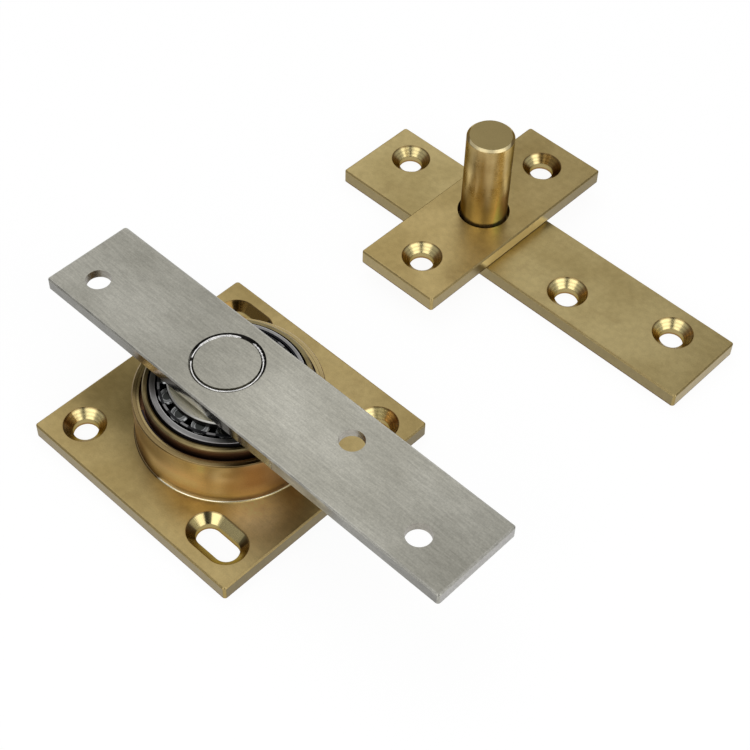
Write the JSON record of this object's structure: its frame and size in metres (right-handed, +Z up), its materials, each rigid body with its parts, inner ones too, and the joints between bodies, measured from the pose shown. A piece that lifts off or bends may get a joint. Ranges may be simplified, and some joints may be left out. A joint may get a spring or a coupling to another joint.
{
  "type": "door pivot",
  "caption": "Door pivot set: a floor plate whose cup holds a taper roller bearing under a swinging steel door arm, and a head pivot whose plate turns on an upright pin.",
  "frame": {"origin": "on the floor pivot's bearing axis, at the underside of the floor plate", "axes": "+Z up along the bearing axis; +X along the long end of the door arm; +Y from the floor pivot towards the head pivot that stands beside it"},
  "size_m": [0.195, 0.2483, 0.0526],
  "materials": {
    "plate_brass": "satin, brushed",
    "cup_brass": "fine turned",
    "holder_brass": "turned",
    "pin_brass": "turned",
    "spring_steel": "blackened",
    "bearing_steel": "ground",
    "roller_steel": "ground",
    "cage_steel": "pressed, dull",
    "arm_steel": "satin, brushed along its length",
    "shaft_steel": "turned",
    "weld_steel": "uneven weld"
  },
  "bodies": {
    "floor_pivot": {"base_plate": "plate_brass", "bearing_cup": "cup_brass", "bearing_holder": "holder_brass", "snap_ring": "spring_steel", "bearing_outer_ring": "bearing_steel", "top_arm": "plate_brass", "top_pin": "pin_brass"},
    "door_arm": {"door_arm": "arm_steel", "pivot_shaft": "shaft_steel", "weld_bead": "weld_steel", "bearing_inner_ring": "bearing_steel"},
    "bearing_cage": {"bearing_cage": "cage_steel"},
    "head_plate": {"head_plate": "plate_brass"},
    "roller_01": {"roller_01": "roller_steel"},
    "roller_02": {"roller_02": "roller_steel"},
    "roller_03": {"roller_03": "roller_steel"},
    "roller_04": {"roller_04": "roller_steel"},
    "roller_05": {"roller_05": "roller_steel"},
    "roller_06": {"roller_06": "roller_steel"},
    "roller_07": {"roller_07": "roller_steel"},
    "roller_08": {"roller_08": "roller_steel"},
    "roller_09": {"roller_09": "roller_steel"},
    "roller_10": {"roller_10": "roller_steel"},
    "roller_11": {"roller_11": "roller_steel"},
    "roller_12": {"roller_12": "roller_steel"},
    "roller_13": {"roller_13": "roller_steel"},
    "roller_14": {"roller_14": "roller_steel"},
    "roller_15": {"roller_15": "roller_steel"}
  },
  "joints": [
    {"name": "arm_swing", "type": "hinge", "parent": "floor_pivot", "child": "door_arm", "pos_m": [0, 0, 0.0338], "axis": [0, 0, 1], "continuous": true},
    {"name": "cage_turn", "type": "hinge", "parent": "floor_pivot", "child": "bearing_cage", "pos_m": [0, 0, 0.0235], "axis": [0, 0, 1], "continuous": true},
    {"name": "head_plate_swing", "type": "hinge", "parent": "floor_pivot", "child": "head_plate", "pos_m": [-0.0048, 0.1453, 0.009], "axis": [0, 0, 1], "continuous": true},
    {"name": "roller_01_spin", "type": "hinge", "parent": "bearing_cage", "child": "roller_01", "pos_m": [-0.00962, -0.01888, 0.0258], "axis": [-0.1033, -0.2027, 0.9738], "continuous": true},
    {"name": "roller_02_spin", "type": "hinge", "parent": "bearing_cage", "child": "roller_02", "pos_m": [-0.00111, -0.02116, 0.0258], "axis": [-0.0119, -0.2272, 0.9738], "continuous": true},
    {"name": "roller_03_spin", "type": "hinge", "parent": "bearing_cage", "child": "roller_03", "pos_m": [0.00759, -0.01978, 0.0258], "axis": [0.0815, -0.2124, 0.9738], "continuous": true},
    {"name": "roller_04_spin", "type": "hinge", "parent": "bearing_cage", "child": "roller_04", "pos_m": [0.01498, -0.01498, 0.0258], "axis": [0.1609, -0.1609, 0.9738], "continuous": true},
    {"name": "roller_05_spin", "type": "hinge", "parent": "bearing_cage", "child": "roller_05", "pos_m": [0.01978, -0.00759, 0.0258], "axis": [0.2124, -0.0815, 0.9738], "continuous": true},
    {"name": "roller_06_spin", "type": "hinge", "parent": "bearing_cage", "child": "roller_06", "pos_m": [0.02116, 0.00111, 0.0258], "axis": [0.2272, 0.0119, 0.9738], "continuous": true},
    {"name": "roller_07_spin", "type": "hinge", "parent": "bearing_cage", "child": "roller_07", "pos_m": [0.01888, 0.00962, 0.0258], "axis": [0.2027, 0.1033, 0.9738], "continuous": true},
    {"name": "roller_08_spin", "type": "hinge", "parent": "bearing_cage", "child": "roller_08", "pos_m": [0.01333, 0.01647, 0.0258], "axis": [0.1432, 0.1768, 0.9738], "continuous": true},
    {"name": "roller_09_spin", "type": "hinge", "parent": "bearing_cage", "child": "roller_09", "pos_m": [0.00548, 0.02047, 0.0258], "axis": [0.0589, 0.2198, 0.9738], "continuous": true},
    {"name": "roller_10_spin", "type": "hinge", "parent": "bearing_cage", "child": "roller_10", "pos_m": [-0.00331, 0.02093, 0.0258], "axis": [-0.0356, 0.2247, 0.9738], "continuous": true},
    {"name": "roller_11_spin", "type": "hinge", "parent": "bearing_cage", "child": "roller_11", "pos_m": [-0.01154, 0.01777, 0.0258], "axis": [-0.1239, 0.1908, 0.9738], "continuous": true},
    {"name": "roller_12_spin", "type": "hinge", "parent": "bearing_cage", "child": "roller_12", "pos_m": [-0.01777, 0.01154, 0.0258], "axis": [-0.1908, 0.1239, 0.9738], "continuous": true},
    {"name": "roller_13_spin", "type": "hinge", "parent": "bearing_cage", "child": "roller_13", "pos_m": [-0.02093, 0.00331, 0.0258], "axis": [-0.2247, 0.0356, 0.9738], "continuous": true},
    {"name": "roller_14_spin", "type": "hinge", "parent": "bearing_cage", "child": "roller_14", "pos_m": [-0.02047, -0.00548, 0.0258], "axis": [-0.2198, -0.0589, 0.9738], "continuous": true},
    {"name": "roller_15_spin", "type": "hinge", "parent": "bearing_cage", "child": "roller_15", "pos_m": [-0.01647, -0.01333, 0.0258], "axis": [-0.1768, -0.1432, 0.9738], "continuous": true}
  ],
  "couplings": [
    {"joint": "cage_turn", "follows": "arm_swing", "ratio": 0.41976},
    {"joint": "roller_01_spin", "follows": "arm_swing", "ratio": -2.9558},
    {"joint": "roller_02_spin", "follows": "arm_swing", "ratio": -2.9558},
    {"joint": "roller_03_spin", "follows": "arm_swing", "ratio": -2.9558},
    {"joint": "roller_04_spin", "follows": "arm_swing", "ratio": -2.9558},
    {"joint": "roller_05_spin", "follows": "arm_swing", "ratio": -2.9558},
    {"joint": "roller_06_spin", "follows": "arm_swing", "ratio": -2.9558},
    {"joint": "roller_07_spin", "follows": "arm_swing", "ratio": -2.9558},
    {"joint": "roller_08_spin", "follows": "arm_swing", "ratio": -2.9558},
    {"joint": "roller_09_spin", "follows": "arm_swing", "ratio": -2.9558},
    {"joint": "roller_10_spin", "follows": "arm_swing", "ratio": -2.9558},
    {"joint": "roller_11_spin", "follows": "arm_swing", "ratio": -2.9558},
    {"joint": "roller_12_spin", "follows": "arm_swing", "ratio": -2.9558},
    {"joint": "roller_13_spin", "follows": "arm_swing", "ratio": -2.9558},
    {"joint": "roller_14_spin", "follows": "arm_swing", "ratio": -2.9558},
    {"joint": "roller_15_spin", "follows": "arm_swing", "ratio": -2.9558}
  ]
}
